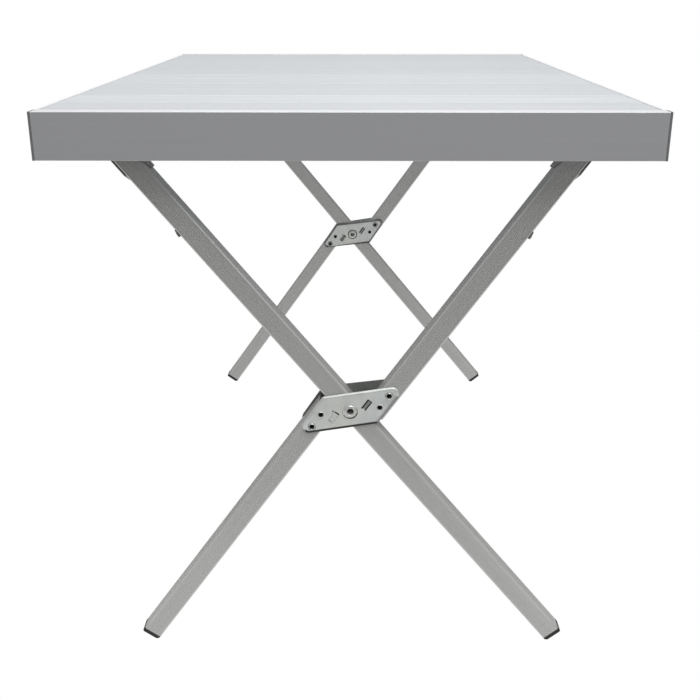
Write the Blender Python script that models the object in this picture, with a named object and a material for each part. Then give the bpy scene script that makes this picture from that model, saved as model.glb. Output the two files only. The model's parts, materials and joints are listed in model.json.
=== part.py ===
"""Fold-flat aluminium picnic table.

A framed top of transverse slats stands on two scissor leg frames, one at each
end. Each frame has one whole leg and one leg in two halves. The halves are
riveted between two bracket plates, half a tube either side of the whole leg,
so the frame closes to a straight stick one tube thick. The leg tops slide and
turn on a rod under the top, so the closed stick swings up into the top.

Metres, +Z up. X runs across the table, Y along it, and the near end is at -Y.
The origin is on the floor under the middle of the top.
"""
import bpy
import bmesh
from math import atan2, cos, hypot, pi, radians, sin, tan
from mathutils import Matrix, Vector

# ---------------------------------------------------------------- whole table
WIDTH = 0.700
LENGTH = 1.026
HEIGHT = 0.707
GAP = 0.0003                  # clearance between pieces that touch

# ------------------------------------------------------------------ top frame
RAIL_DEPTH = 0.053
RAIL_WALL = 0.002
END_FLANGE = 0.020            # top flange of an end rail
END_LIP = 0.010               # bottom flange of an end rail
SIDE_RIM = 0.0055             # bright rim beside the slat ends
SIDE_RIM_DEPTH = 0.0018
LEDGE_DEPTH = 0.0112          # the slats rest this far below the rim
LEDGE_WIDTH = 0.016
LEDGE_WALL = 0.0018
SIDE_LIP = 0.012
CORNER_PLATE = 0.0025         # casting plate that closes an end rail
CASTING_REACH_X = 0.060       # a casting's arm along the end rail
CASTING_REACH_Y = 0.083       # its arm along the side rail, past the rod
CASTING_WALL_X = 0.020        # thickness of the arm along the side rail
CASTING_WALL_Y = 0.015        # thickness of the arm along the end rail

SLAT_COUNT = 12
SLAT_DROP = 0.0005            # slat tops below the rim
SLAT_SKIN = 0.0016
SLAT_WEB = 0.0014
SLAT_JOINT = 0.0006           # gap from slat to slat
SLAT_RIB = 0.006
SLAT_END_PLAY = 0.0005        # between the outer slats and the end rails

# ---------------------------------------------------------------- leg frames
TUBE = 0.025
TUBE_WALL = 0.0015
PLANE_INSET = 0.0455          # leg centre plane in from the table's end
ROD_DROP = 0.034              # rod axis below the top
ROD_RADIUS = 0.004
ROD_REACH = 0.3465            # half the rod's length
PIVOT_DROP = 0.3666           # scissor pivot below the top
PIVOT_X = 0.0006              # and this far right of the middle
LONG_TILT = radians(39.5)     # whole leg from the vertical
SHORT_TILT = radians(35.7)    # split leg from the vertical
PITCH = TUBE + 0.0018         # rivets of each half lie one pitch off the pivot
SPLIT_SHIFT = 0.0014          # the split leg's tubes sit this far off their rivets
CLOSED_TILT = radians(0.25)   # tilt left in each leg when the frame is closed
CLOSED_OFFSET = 0.052         # closed sticks lie side by side, this far off
OPEN_PLAY = 0.00265           # half the play of the split leg on its rod
LEG_HEAD = 0.008              # tube above the rod axis
FOOT_CLIP = 0.0022            # corner of a foot taken off level

BARREL_RADIUS = 0.010
BARREL_HALF = 0.0107
TRUNNION_RADIUS = 0.003
TRUNNION_HALF = 0.0123

FITTING_WALL = 0.0018
CHEEK_DROP = 0.049            # lower end of the cheeks below the rod
STRAP_WIDTH = 0.018
EAR_TOP = 0.122               # the ear's upper and lower ends below the rod
EAR_DROP = 0.137
EAR_WALL = 0.0026
FITTING_RIVET_DROP = 0.090
FITTING_HOLE = 0.0023
FITTING_RIVET = 0.0020        # shank radius
FITTING_RIVET_HEAD = 0.0036
FITTING_RIVET_TAIL = 0.0030
FITTING_RIVET_RISE = 0.0014

PLATE_WALL = 0.0015
PLATE_CORNERS = ((-0.038, -0.0065), (0.036, 0.066), (0.038, 0.0065), (-0.036, -0.066))
PLATE_RADII = (0.003, 0.011, 0.003, 0.011)
INNER_PLATE_SPREAD = 1.08     # the inner plate is wider across the split leg
RIVET_REACH = (0.0254, 0.0448)   # rivets along the split leg from the pivot
RIVET_RADIUS = 0.0025
RIVET_HEAD = 0.0038
RIVET_RISE = 0.0014
EYELET_RADIUS = 0.005
EYELET_BORE = 0.0035
EYELET_FLANGE = 0.0085
EYELET_RISE = 0.0032

CAP_WALL = 0.0042
CAP_PLUG = 0.012
REACH = 0.03                  # half length of a cutter that passes right through

# ------------------------------------------------------------- derived places
ROD_Z = HEIGHT - ROD_DROP
PIVOT_Z = HEIGHT - PIVOT_DROP
PLANE_Y = LENGTH / 2 - PLANE_INSET
HALF = TUBE / 2
LONG_ARM = (ROD_Z - PIVOT_Z) / cos(LONG_TILT)
UPPER_MIDDLE = SPLIT_SHIFT + PITCH
LOWER_MIDDLE = SPLIT_SHIFT - PITCH
SHORT_RISE = ROD_Z - PIVOT_Z + OPEN_PLAY + UPPER_MIDDLE * sin(SHORT_TILT)
SHORT_ARM = SHORT_RISE / cos(SHORT_TILT)
SHORT_REACH = UPPER_MIDDLE * cos(SHORT_TILT) + SHORT_ARM * sin(SHORT_TILT)
LONG_FOOT = (PIVOT_Z + FOOT_CLIP - HALF * sin(LONG_TILT)) / cos(LONG_TILT)
SHORT_FOOT = (PIVOT_Z + FOOT_CLIP - (LOWER_MIDDLE + HALF) * sin(SHORT_TILT)) / cos(SHORT_TILT)
BORE_RADIUS = ROD_RADIUS + GAP
OPEN_BORE_RADIUS = ROD_RADIUS + OPEN_PLAY + 0.0005

ROUND = 24                    # sides of a turned piece
SMALL = 14                    # sides of a rivet and its hole


def clear_scene():
    """Remove every object."""
    for item in list(bpy.data.objects):
        bpy.data.objects.remove(item, do_unlink=True)


def make_material(name, colour, roughness, metallic):
    """A Principled material from an RGB colour."""
    item = bpy.data.materials.new(name)
    item.use_nodes = True
    shader = item.node_tree.nodes["Principled BSDF"]
    shader.inputs["Base Color"].default_value = (*colour, 1.0)
    shader.inputs["Roughness"].default_value = roughness
    shader.inputs["Metallic"].default_value = metallic
    return item


def add_object(name, bm, material, parent=None, smooth=False):
    """Turn a bmesh into a linked object."""
    bmesh.ops.recalc_face_normals(bm, faces=bm.faces)
    mesh = bpy.data.meshes.new(name)
    bm.to_mesh(mesh)
    bm.free()
    item = bpy.data.objects.new(name, mesh)
    bpy.context.collection.objects.link(item)
    if material:
        mesh.materials.append(material)
    if smooth:
        mesh.shade_smooth()
        mesh.set_sharp_from_angle(angle=radians(35))
    item.parent = parent
    return item


def add_empty(name, location, turn=0.0):
    """An empty on a joint axis, turned about Y by the leg's tilt."""
    item = bpy.data.objects.new(name, None)
    item.location = location
    item.rotation_euler = (0.0, turn, 0.0)
    item.empty_display_size = 0.03
    bpy.context.collection.objects.link(item)
    return item


def prism(outline, low, high, axis):
    """Extrude a 2D outline from low to high along axis 'X', 'Y' or 'Z'.

    The outline's pairs are (Y, Z), (X, Z) or (X, Y) in turn.
    """
    place = {
        "X": lambda a, b, c: (c, a, b),
        "Y": lambda a, b, c: (a, c, b),
        "Z": lambda a, b, c: (a, b, c),
    }[axis]
    bm = bmesh.new()
    rings = [[bm.verts.new(place(a, b, c)) for a, b in outline] for c in (low, high)]
    bm.faces.new(rings[0])
    bm.faces.new(rings[1])
    count = len(outline)
    for i in range(count):
        j = (i + 1) % count
        bm.faces.new((rings[0][i], rings[0][j], rings[1][j], rings[1][i]))
    return bm


def box(low, high):
    """A box between two corners."""
    outline = ((low[0], low[1]), (high[0], low[1]), (high[0], high[1]), (low[0], high[1]))
    return prism(outline, low[2], high[2], "Z")


def turned(profile, axis, sides=ROUND, closed=False):
    """Turn (radius, height) pairs about an axis through the origin.

    An open profile starts and ends on the axis. A closed one makes a ring.
    """
    place = {
        "X": lambda r, h, a: (h, r * cos(a), r * sin(a)),
        "Y": lambda r, h, a: (r * cos(a), h, r * sin(a)),
    }[axis]
    bm = bmesh.new()
    rings = []
    for radius, height in profile:
        steps = sides if radius > 0 else 1
        rings.append([bm.verts.new(place(radius, height, 2 * pi * k / sides)) for k in range(steps)])
    last = len(rings) if closed else len(rings) - 1
    for i in range(last):
        ring, following = rings[i], rings[(i + 1) % len(rings)]
        for k in range(sides):
            n = (k + 1) % sides
            if len(ring) == 1:
                bm.faces.new((ring[0], following[k], following[n]))
            elif len(following) == 1:
                bm.faces.new((ring[k], ring[n], following[0]))
            else:
                bm.faces.new((ring[k], ring[n], following[n], following[k]))
    return bm


def rod_bm(radius, low, high, axis, sides=ROUND):
    """A plain round bar."""
    return turned(((0, low), (radius, low), (radius, high), (0, high)), axis, sides)


def moved(bm, offset):
    """Shift a bmesh."""
    bmesh.ops.translate(bm, vec=Vector(offset), verts=bm.verts)
    return bm


def rounded(corners, radii, steps=4):
    """An outline whose corners are arcs."""
    points = []
    count = len(corners)
    for i, (corner, radius) in enumerate(zip(corners, radii)):
        here = Vector(corner)
        before = (Vector(corners[i - 1]) - here).normalized()
        after = (Vector(corners[(i + 1) % count]) - here).normalized()
        half = before.angle(after) / 2
        start = here + before * (radius / tan(half))
        end = here + after * (radius / tan(half))
        centre = here + (before + after).normalized() * (radius / sin(half))
        first = atan2(*(start - centre).yx)
        sweep = atan2(*(end - centre).yx) - first
        sweep = (sweep + pi) % (2 * pi) - pi
        points += [
            (centre.x + radius * cos(first + sweep * k / steps),
             centre.y + radius * sin(first + sweep * k / steps))
            for k in range(steps + 1)
        ]
    return points


def slot(low, high, half_width):
    """A round-ended outline that runs along the second axis."""
    corners = ((-half_width, low), (half_width, low), (half_width, high), (-half_width, high))
    return rounded(corners, (half_width * 0.999,) * 4)


def combine(item, tools, operation):
    """Apply EXACT Booleans from a list of bmeshes placed in item's frame."""
    cutters = []
    for tool in tools:
        cutter = add_object(item.name + "_tool", tool, None, item.parent)
        cutter.hide_render = True
        cutter.display_type = "WIRE"
        modifier = item.modifiers.new("cut", "BOOLEAN")
        modifier.solver = "EXACT"
        modifier.operation = operation
        modifier.object = cutter
        cutters.append(cutter)
    graph = bpy.context.evaluated_depsgraph_get()
    mesh = bpy.data.meshes.new_from_object(item.evaluated_get(graph))
    old = item.data
    mesh.name = item.name
    item.modifiers.clear()
    item.data = mesh
    bpy.data.meshes.remove(old)
    for cutter in cutters:
        bpy.data.objects.remove(cutter, do_unlink=True)
    return item


def crease(item):
    """Smooth the round walls and keep the edges."""
    item.data.shade_smooth()
    item.data.set_sharp_from_angle(angle=radians(35))


# ------------------------------------------------------------------ top frame
def build_rails(anodised):
    """Four extruded rails: the end rails span the width, the sides fit between."""
    side_end = LENGTH / 2 - END_FLANGE - GAP
    outline = (
        (0, 0), (SIDE_RIM, 0), (SIDE_RIM, -SIDE_RIM_DEPTH), (RAIL_WALL, -SIDE_RIM_DEPTH),
        (RAIL_WALL, -LEDGE_DEPTH), (LEDGE_WIDTH, -LEDGE_DEPTH),
        (LEDGE_WIDTH, -LEDGE_DEPTH - LEDGE_WALL), (RAIL_WALL, -LEDGE_DEPTH - LEDGE_WALL),
        (RAIL_WALL, RAIL_WALL - RAIL_DEPTH), (SIDE_LIP, RAIL_WALL - RAIL_DEPTH),
        (SIDE_LIP, -RAIL_DEPTH), (0, -RAIL_DEPTH),
    )
    for name, side in (("side_rail_left", -1), ("side_rail_right", 1)):
        section = [(side * (WIDTH / 2 - d), HEIGHT + z) for d, z in outline]
        add_object(name, prism(section, -side_end, side_end, "Y"), anodised)

    outline = (
        (0, 0), (END_FLANGE, 0), (END_FLANGE, -RAIL_WALL), (RAIL_WALL, -RAIL_WALL),
        (RAIL_WALL, RAIL_WALL - RAIL_DEPTH), (END_LIP, RAIL_WALL - RAIL_DEPTH),
        (END_LIP, -RAIL_DEPTH), (0, -RAIL_DEPTH),
    )
    reach = WIDTH / 2 - CORNER_PLATE - GAP
    for name, end in (("end_rail_near", -1), ("end_rail_far", 1)):
        section = [(end * (LENGTH / 2 - d), HEIGHT + z) for d, z in outline]
        add_object(name, prism(section, -reach, reach, "X"), anodised)


def build_corners(cast):
    """Corner castings: an end plate, two arms inside the rails, and the rod's seat."""
    top = HEIGHT - LEDGE_DEPTH - LEDGE_WALL - GAP
    bottom = HEIGHT - RAIL_DEPTH + RAIL_WALL + GAP
    end_wall = LENGTH / 2 - RAIL_WALL - GAP
    side_wall = WIDTH / 2 - RAIL_WALL - GAP
    plate_in = WIDTH / 2 - CORNER_PLATE

    def mirrored_box(side, end, low, high):
        xs = sorted((side * low[0], side * high[0]))
        ys = sorted((end * low[1], end * high[1]))
        return box((xs[0], ys[0], low[2]), (xs[1], ys[1], high[2]))

    for side, side_name in ((-1, "left"), (1, "right")):
        for end, end_name in ((-1, "near"), (1, "far")):
            plate = mirrored_box(
                side, end,
                (plate_in, LENGTH / 2 - END_FLANGE, HEIGHT - RAIL_DEPTH),
                (WIDTH / 2, LENGTH / 2, HEIGHT))
            item = add_object(f"corner_casting_{end_name}_{side_name}", plate, cast)
            end_arm = mirrored_box(
                side, end,
                (WIDTH / 2 - CASTING_REACH_X, end_wall - CASTING_WALL_Y, bottom),
                (WIDTH / 2 - CORNER_PLATE / 2, end_wall, top))
            side_arm = mirrored_box(
                side, end,
                (WIDTH / 2 - CASTING_WALL_X, LENGTH / 2 - CASTING_REACH_Y, bottom),
                (side_wall, end_wall, top))
            combine(item, [end_arm, side_arm], "UNION")
            seat = rod_bm(BORE_RADIUS, -REACH, REACH, "X")
            combine(item, [moved(seat, (side * side_wall, end * PLANE_Y, ROD_Z))], "DIFFERENCE")
            crease(item)


def build_slats(anodised):
    """Twelve channel slats, side by side from end rail to end rail."""
    start = LENGTH / 2 - END_FLANGE - SLAT_END_PLAY
    pitch = 2 * start / SLAT_COUNT
    half = pitch / 2 - SLAT_JOINT / 2
    top = HEIGHT - SLAT_DROP
    foot = HEIGHT - LEDGE_DEPTH + GAP
    skin = top - SLAT_SKIN
    inner = half - SLAT_WEB
    reach = WIDTH / 2 - SIDE_RIM - GAP
    for k in range(SLAT_COUNT):
        middle = -start + pitch * (k + 0.5)
        right = [(inner, foot), (inner, skin)]
        for rib in (half / 3, -half / 3):
            right += [
                (rib + SLAT_WEB / 2, skin), (rib + SLAT_WEB / 2, skin - SLAT_RIB),
                (rib - SLAT_WEB / 2, skin - SLAT_RIB), (rib - SLAT_WEB / 2, skin),
            ]
        outline = [(-half, foot), (-half, top), (half, top), (half, foot)]
        outline += right + [(-inner, skin), (-inner, foot)]
        section = [(middle + y, z) for y, z in outline]
        add_object(f"slat_{k + 1:02d}", prism(section, -reach, reach, "X"), anodised)


# ----------------------------------------------------------------- leg pieces
def build_tube(name, middle, low, high, material, parent, cutters):
    """A square tube along the leg, middle being its offset beside the pivot."""
    outer = box((middle - HALF, -HALF, low), (middle + HALF, HALF, high))
    item = add_object(name, outer, material, parent)
    inner = HALF - TUBE_WALL
    bore = box((middle - inner, -inner, low - 0.01), (middle + inner, inner, high + 0.01))
    combine(item, [bore], "DIFFERENCE")
    if cutters:
        combine(item, cutters, "DIFFERENCE")
        crease(item)
    return item


def rod_slots(middle, head, slope, play):
    """Cutters that let the rod through both sides as the leg tilts.

    slope is the rise of the rod across the leg, with its sign, and play is
    the most that the rod moves off the pivot.
    """
    reach = HALF + GAP + FITTING_WALL
    run = abs(slope) * reach + ROD_RADIUS * hypot(1.0, slope) + play + 0.0006
    back = ROD_RADIUS + play + 0.0006
    width = ROD_RADIUS + 0.0005
    cutters = []
    for side in (-1, 1):
        rises = side * slope > 0
        low, high = (head - back, head + run) if rises else (head - run, head + back)
        near, far = sorted((middle + side * 0.006, middle + side * 0.022))
        outline = [(y, z) for y, z in slot(low, high, width)]
        cutters.append(prism(outline, near, far, "X"))
    return cutters


def build_fitting(name, middle, head, outer, inward, slots, material, parent):
    """The steel fitting on a leg top: two cheeks, a back strap and a lower ear.

    outer is the leg's lower side, -1 or 1, and inward points to mid-table.
    """
    wall_in = HALF + GAP
    wall_out = wall_in + FITTING_WALL
    ear_out = wall_in + EAR_WALL
    front = HALF - 0.001
    top = head + LEG_HEAD - 0.001
    low_cheek = head - CHEEK_DROP
    back = sorted((inward * wall_in, inward * wall_out))
    strap_half = STRAP_WIDTH / 2

    item = add_object(
        name,
        box((middle - wall_out, back[0], low_cheek), (middle + wall_out, back[1], top)),
        material, parent)
    tools = []
    for side in (-1, 1):
        xs = sorted((middle + side * wall_in, middle + side * wall_out))
        ys = sorted((inward * wall_out, -inward * front))
        tools.append(box((xs[0], ys[0], low_cheek), (xs[1], ys[1], top)))
    tools.append(box(
        (middle - strap_half, back[0], head - EAR_DROP), (middle + strap_half, back[1], head)))
    ear_x = sorted((middle, middle + outer * ear_out))
    tools.append(box((ear_x[0], back[0], head - EAR_DROP), (ear_x[1], back[1], head - EAR_TOP)))
    ear_x = sorted((middle + outer * wall_in, middle + outer * ear_out))
    ear_y = sorted((inward * wall_out, -inward * front))
    tools.append(box((ear_x[0], ear_y[0], head - EAR_DROP), (ear_x[1], ear_y[1], head - EAR_TOP)))
    combine(item, tools, "UNION")
    rivet_hole = moved(
        rod_bm(FITTING_HOLE, -REACH, REACH, "Y", SMALL), (middle, 0, head - FITTING_RIVET_DROP))
    combine(item, slots + [rivet_hole], "DIFFERENCE")
    crease(item)
    return item


def build_fitting_rivet(name, middle, head, inward, material, parent):
    """The rivet that holds a fitting's strap to the tube's back wall."""
    face = HALF + GAP + FITTING_WALL
    inside = HALF - TUBE_WALL
    tail = inside - FITTING_RIVET_RISE
    crown = face + FITTING_RIVET_RISE
    profile = [
        (0, tail), (FITTING_RIVET_TAIL, tail), (FITTING_RIVET_TAIL, inside - GAP),
        (FITTING_RIVET, inside - GAP), (FITTING_RIVET, face + GAP),
        (FITTING_RIVET_HEAD, face + GAP), (FITTING_RIVET_TAIL, crown), (0, crown),
    ]
    bm = turned([(r, inward * y) for r, y in profile], "Y", SMALL)
    place = (middle, 0, head - FITTING_RIVET_DROP)
    return add_object(name, moved(bm, place), material, parent, smooth=True)


def build_cap(name, middle, foot, tilt, pivot_z, material, parent):
    """A foot cap: a plate under the tube end and a plug inside it.

    foot is the distance from the parent's origin down to the cap's sole, and
    the corner that meets the floor is cut level.
    """
    plug = HALF - TUBE_WALL - GAP
    sole = box((middle - HALF, -HALF, -foot), (middle + HALF, HALF, -foot + CAP_WALL))
    item = add_object(name, sole, material, parent)
    top = -foot + CAP_WALL + CAP_PLUG
    core = box((middle - plug, -plug, -foot + 0.001), (middle + plug, plug, top))
    combine(item, [core], "UNION")
    floor = box((-1.0, -0.1, -pivot_z - 0.2), (1.0, 0.1, -pivot_z))
    bmesh.ops.rotate(floor, matrix=Matrix.Rotation(-tilt, 3, "Y"), verts=floor.verts)
    combine(item, [floor], "DIFFERENCE")
    return item


def build_barrel(name, bore, location, material):
    """The barrel in a leg top: it turns in the tube and slides on the rod."""
    profile = (
        (0, -TRUNNION_HALF), (TRUNNION_RADIUS, -TRUNNION_HALF), (TRUNNION_RADIUS, -BARREL_HALF),
        (BARREL_RADIUS, -BARREL_HALF), (BARREL_RADIUS, BARREL_HALF),
        (TRUNNION_RADIUS, BARREL_HALF), (TRUNNION_RADIUS, TRUNNION_HALF), (0, TRUNNION_HALF),
    )
    item = add_object(name, turned(profile, "Y"), material)
    combine(item, [rod_bm(bore, -REACH, REACH, "X")], "DIFFERENCE")
    crease(item)
    item.location = location
    return item


def pin_holes(middle, heights, radius, sides=SMALL):
    """Cutters across the leg from front to back."""
    return [moved(rod_bm(radius, -REACH, REACH, "Y", sides), (middle, 0, h)) for h in heights]


def back_hole(middle, height, inward):
    """A cutter through the tube's back wall only."""
    low, high = sorted((inward * HALF / 2, inward * REACH))
    return moved(rod_bm(FITTING_HOLE, low, high, "Y", SMALL), (middle, 0, height))


def build_bracket(end_name, parent, steel):
    """Two plates, four rivets and the eyelet that the whole leg turns on."""
    inner = HALF + GAP
    outer = inner + PLATE_WALL
    rivets = [(side * PITCH, side * reach) for side in (1, -1) for reach in RIVET_REACH]
    for name, side, spread in (("outer", -1, 1.0), ("inner", 1, INNER_PLATE_SPREAD)):
        facing = side if end_name == "near" else -side
        low, high = sorted((facing * inner, facing * outer))
        outline = rounded([(x * spread, z) for x, z in PLATE_CORNERS], PLATE_RADII)
        item = add_object(
            f"{end_name}_bracket_plate_{name}", prism(outline, low, high, "Y"), steel, parent)
        holes = [
            moved(rod_bm(RIVET_RADIUS + GAP, -REACH, REACH, "Y", SMALL), (x, 0, z))
            for x, z in rivets]
        holes.append(rod_bm(EYELET_RADIUS + GAP, -REACH, REACH, "Y"))
        combine(item, holes, "DIFFERENCE")
        crease(item)

    seat = outer + GAP
    crown = seat + RIVET_RISE
    profile = (
        (0, -crown), (RIVET_HEAD * 0.6, -crown), (RIVET_HEAD, -seat), (RIVET_RADIUS, -seat),
        (RIVET_RADIUS, seat), (RIVET_HEAD, seat), (RIVET_HEAD * 0.6, crown), (0, crown),
    )
    for k, (x, z) in enumerate(rivets):
        add_object(
            f"{end_name}_bracket_rivet_{k + 1}", moved(turned(profile, "Y", SMALL), (x, 0, z)),
            steel, parent, smooth=True)

    crown = seat + EYELET_RISE
    profile = (
        (EYELET_BORE, -crown), (EYELET_FLANGE * 0.8, -crown), (EYELET_FLANGE, -seat),
        (EYELET_RADIUS, -seat), (EYELET_RADIUS, seat), (EYELET_FLANGE, seat),
        (EYELET_FLANGE * 0.8, crown), (EYELET_BORE, crown),
    )
    add_object(
        f"{end_name}_pivot_eyelet", turned(profile, "Y", closed=True), steel, parent, smooth=True)


def build_leg_frame(end_name, end, tube_alloy, steel, black, slider):
    """One scissor frame at the near (-1) or far (1) end."""
    plane = end * PLANE_Y
    inward = -end

    rod = add_object(
        f"{end_name}_rod", rod_bm(ROD_RADIUS, -ROD_REACH, ROD_REACH, "X"), steel, smooth=True)
    rod.location = (0, plane, ROD_Z)

    long_top = PIVOT_X - LONG_ARM * sin(LONG_TILT)
    build_barrel(f"{end_name}_long_barrel", BORE_RADIUS, (long_top, plane, ROD_Z), slider)
    short_top = (PIVOT_X + SHORT_REACH, plane, ROD_Z + OPEN_PLAY)
    build_barrel(f"{end_name}_short_barrel", OPEN_BORE_RADIUS, short_top, slider)

    # The whole leg, from the rod down: the origin is on the rod's axis.
    parent = add_empty(f"{end_name}_long_leg_axis", (long_top, plane, ROD_Z), -LONG_TILT)
    foot = LONG_ARM + LONG_FOOT
    slots = rod_slots(0, 0, -tan(LONG_TILT), 0)
    cutters = slots + pin_holes(0, (0,), TRUNNION_RADIUS + GAP)
    cutters += pin_holes(0, (-LONG_ARM,), EYELET_RADIUS + 0.0002, ROUND)
    cutters.append(back_hole(0, -FITTING_RIVET_DROP, inward))
    build_tube(f"{end_name}_long_leg", 0, CAP_WALL + GAP - foot, LEG_HEAD, tube_alloy, parent, cutters)
    slots = rod_slots(0, 0, -tan(LONG_TILT), 0)
    build_fitting(f"{end_name}_long_fitting", 0, 0, -1, inward, slots, steel, parent)
    build_fitting_rivet(f"{end_name}_long_fitting_rivet", 0, 0, inward, steel, parent)
    build_cap(f"{end_name}_long_cap", 0, foot, -LONG_TILT, ROD_Z, black, parent)

    # The split leg: the origin is on the scissor pivot.
    parent = add_empty(f"{end_name}_scissor_axis", (PIVOT_X, plane, PIVOT_Z), SHORT_TILT)
    head = SHORT_ARM
    middle = UPPER_MIDDLE
    slots = rod_slots(middle, head, tan(SHORT_TILT), OPEN_PLAY + 0.0005)
    cutters = slots + pin_holes(middle, (head,), TRUNNION_RADIUS + GAP)
    cutters += pin_holes(PITCH, RIVET_REACH, RIVET_RADIUS + GAP)
    cutters.append(back_hole(middle, head - FITTING_RIVET_DROP, inward))
    build_tube(
        f"{end_name}_short_leg_upper", middle, HALF, head + LEG_HEAD, tube_alloy, parent, cutters)
    slots = rod_slots(middle, head, tan(SHORT_TILT), OPEN_PLAY + 0.0005)
    build_fitting(f"{end_name}_short_fitting", middle, head, 1, inward, slots, steel, parent)
    build_fitting_rivet(f"{end_name}_short_fitting_rivet", middle, head, inward, steel, parent)
    cutters = pin_holes(-PITCH, [-reach for reach in RIVET_REACH], RIVET_RADIUS + GAP)
    build_tube(
        f"{end_name}_short_leg_lower", LOWER_MIDDLE, CAP_WALL + GAP - SHORT_FOOT, -HALF,
        tube_alloy, parent, cutters)
    build_cap(
        f"{end_name}_short_cap", LOWER_MIDDLE, SHORT_FOOT, SHORT_TILT, PIVOT_Z, black, parent)
    build_bracket(end_name, parent, steel)


def main():
    """Build the whole table."""
    clear_scene()
    anodised = make_material("anodised_aluminium", (0.62, 0.64, 0.65), 0.38, 0.9)
    slat_alloy = make_material("slat_aluminium", (0.72, 0.74, 0.75), 0.42, 0.9)
    cast = make_material("cast_aluminium", (0.40, 0.41, 0.42), 0.55, 0.8)
    tube_alloy = make_material("leg_aluminium", (0.42, 0.42, 0.40), 0.40, 0.9)
    steel = make_material("zinc_plated_steel", (0.50, 0.53, 0.52), 0.35, 1.0)
    black = make_material("black_plastic", (0.02, 0.02, 0.02), 0.55, 0.0)
    slider = make_material("slider_plastic", (0.06, 0.06, 0.06), 0.50, 0.0)

    build_rails(anodised)
    build_corners(cast)
    build_slats(slat_alloy)
    build_leg_frame("near", -1, tube_alloy, steel, black, slider)
    build_leg_frame("far", 1, tube_alloy, steel, black, slider)


main()
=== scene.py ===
"""Looks of a fold-flat aluminium picnic table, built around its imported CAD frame.

Every piece is modelled in its own local frame and then placed by a matrix that
is worked out from the CAD. Extruded pieces run along local X, so that the grain
of their materials does too. A leg's frame has X up the leg, Y beside it and Z
along the table (+Y of the row frame).
"""

import json
import random
from math import atan2, cos, pi, radians, sin, tan

import bmesh
import bpy
from mathutils import Matrix, Vector

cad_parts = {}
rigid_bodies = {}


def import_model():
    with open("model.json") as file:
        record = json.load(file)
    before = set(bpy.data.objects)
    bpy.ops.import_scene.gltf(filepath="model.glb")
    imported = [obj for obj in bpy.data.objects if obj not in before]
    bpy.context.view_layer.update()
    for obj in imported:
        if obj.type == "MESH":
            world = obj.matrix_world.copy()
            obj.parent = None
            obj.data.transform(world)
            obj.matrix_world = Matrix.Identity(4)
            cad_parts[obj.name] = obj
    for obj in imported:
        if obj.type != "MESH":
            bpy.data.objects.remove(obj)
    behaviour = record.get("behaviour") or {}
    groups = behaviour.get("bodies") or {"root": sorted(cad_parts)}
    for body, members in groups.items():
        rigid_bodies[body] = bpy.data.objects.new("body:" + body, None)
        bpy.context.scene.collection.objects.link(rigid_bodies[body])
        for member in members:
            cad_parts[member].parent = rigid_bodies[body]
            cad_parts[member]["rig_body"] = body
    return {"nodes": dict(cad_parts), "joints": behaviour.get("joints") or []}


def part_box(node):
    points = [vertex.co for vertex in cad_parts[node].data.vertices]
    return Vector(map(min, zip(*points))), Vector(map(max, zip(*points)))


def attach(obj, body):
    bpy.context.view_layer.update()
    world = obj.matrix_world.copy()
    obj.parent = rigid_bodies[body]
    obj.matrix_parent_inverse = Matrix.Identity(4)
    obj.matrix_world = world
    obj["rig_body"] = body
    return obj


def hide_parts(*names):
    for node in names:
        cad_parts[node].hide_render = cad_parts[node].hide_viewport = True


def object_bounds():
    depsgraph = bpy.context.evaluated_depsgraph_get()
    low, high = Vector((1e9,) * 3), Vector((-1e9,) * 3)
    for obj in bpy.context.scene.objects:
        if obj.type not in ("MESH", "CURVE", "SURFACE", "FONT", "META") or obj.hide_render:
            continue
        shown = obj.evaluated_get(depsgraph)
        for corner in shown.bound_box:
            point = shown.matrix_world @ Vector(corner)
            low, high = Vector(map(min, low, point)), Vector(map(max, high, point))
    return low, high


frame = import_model()
cad_low, cad_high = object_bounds()
JOINTS = {joint["name"]: joint for joint in frame["joints"]}

# ---------------- sizes
GAP = 0.0003  # the clearance between pieces, as in the CAD
ROUND_STEPS = 5  # faces round a small rounded edge

RAIL_WALL = 0.002
LIP_ROUND = 0.0010  # outer edges of the rails
SHEET_ROUND = 0.0006
SIDE_RIM = 0.0055
RIM_WALL = 0.0007

SLAT_COUNT = sum(name.startswith("slat_") for name in frame["nodes"])
SLAT_CROWN = 0.00025
SLAT_REED = 0.00045  # depth of the fine reeding on a slat
SLAT_REEDS = 11
REED_STEPS = 6
SLAT_EDGE = 0.0008
SLAT_SKIN = 0.0016
SLAT_WEB = 0.0014
SLAT_RIB = 0.006
SLAT_STEPS = 28  # stations along a slat, so that no face is very long

# Corner castings, measured from the corner: along the end rail, then along the side rail
CASTING_PLATE = 0.0025
CASTING_RETURN = 0.020
CASTING_ARM = 0.0173
CASTING_RIB = 0.0025
CASTING_ROOF = 0.003
END_POCKETS = ((0.0245, 0.0335), (0.0360, 0.0450), (0.0475, 0.0565))
SIDE_POCKETS = ((0.0195, 0.0345), (0.0565, 0.0800))
SEAT_RADIUS = 0.0085
SEAT_LENGTH = 0.0192
SEAT_CHAMFER = 0.0007

TUBE_ROUND = 0.0026
TUBE_WALL = 0.0015
TUBE_STEPS = 24  # stations along a tube
FLUTES = 8
FLUTE_DEPTH = 0.00035
FLUTE_MARGIN = 0.0034  # plain strip beside the tube's corners
FOOT_BAND = 0.0010  # how much of the tube's foot the cap's sole takes up
SOLE_ROUND = 0.0022
PLUG_WALL = 0.0022

ROD_RADIUS = 0.004
ROD_SLACK = 0.0006
OPEN_PLAY = 0.00265 + 0.0005  # drift of the opened pivot, and a little room
TRUNNION_RADIUS = 0.003

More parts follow.
